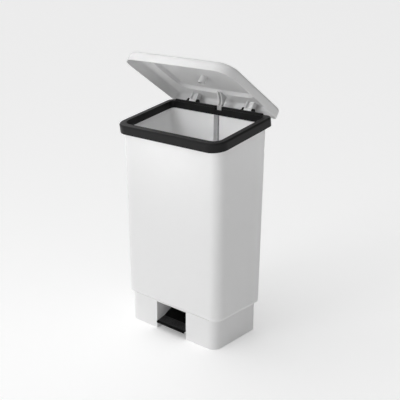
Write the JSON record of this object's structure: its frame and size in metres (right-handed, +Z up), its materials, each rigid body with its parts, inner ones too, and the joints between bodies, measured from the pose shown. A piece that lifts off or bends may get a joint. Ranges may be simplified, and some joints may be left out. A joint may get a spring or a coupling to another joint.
{
  "type": "pedal trash can",
  "caption": "Tall rectangular pedal bin whose front pedal lifts a rod that swings open a rear-hinged lid.",
  "frame": {"origin": "on the floor under the middle of the plinth", "axes": "+Z up, front with the pedal towards -Y, +X to the right as seen from the front"},
  "size_m": [0.411, 0.2962, 0.8681],
  "materials": {
    "white_plastic": "satin",
    "black_plastic": "satin",
    "grey_plastic": "satin",
    "rubber": "matte",
    "steel": "brushed"
  },
  "bodies": {
    "bin_body": {"body_tub": "white_plastic", "base_plinth": "white_plastic", "base_plate": "white_plastic", "base_screws": "steel", "rim_frame": "black_plastic", "rail_cover_left": "black_plastic", "rail_cover_right": "black_plastic", "hinge_pin_left": "black_plastic", "hinge_pin_right": "black_plastic", "rod_guide_upper": "white_plastic", "rod_guide_lower": "white_plastic", "pedal_axle": "steel", "axle_bracket_left": "black_plastic", "axle_bracket_right": "black_plastic", "axle_clip_left": "steel", "axle_clip_right": "steel"},
    "lid": {"lid_shell": "white_plastic", "lid_bumper_left": "rubber", "lid_bumper_right": "rubber"},
    "rod": {"push_rod": "steel", "rod_head": "grey_plastic", "rod_head_pin": "steel", "rod_foot": "grey_plastic"},
    "lever": {"pedal": "black_plastic", "lever_arm": "black_plastic"}
  },
  "joints": [
    {"name": "lid_hinge", "type": "hinge", "parent": "bin_body", "child": "lid", "pos_m": [0, 0.13168, 0.69724], "axis": [-1, 0, 0], "range_deg": [-43.5, 6]},
    {"name": "rod_slide", "type": "slide", "parent": "bin_body", "child": "rod", "axis": [0, 0, 1], "range_m": [-0.0081, 0.0013]},
    {"name": "pedal_pivot", "type": "hinge", "parent": "bin_body", "child": "lever", "pos_m": [0.002, 0.076, 0.062], "axis": [1, 0, 0], "range_deg": [-10.2, 1.5]}
  ],
  "couplings": [
    {"joint": "rod_slide", "follows": "lid_hinge", "m_per_rad": 0.010511},
    {"joint": "pedal_pivot", "follows": "lid_hinge", "ratio": 0.22989}
  ]
}
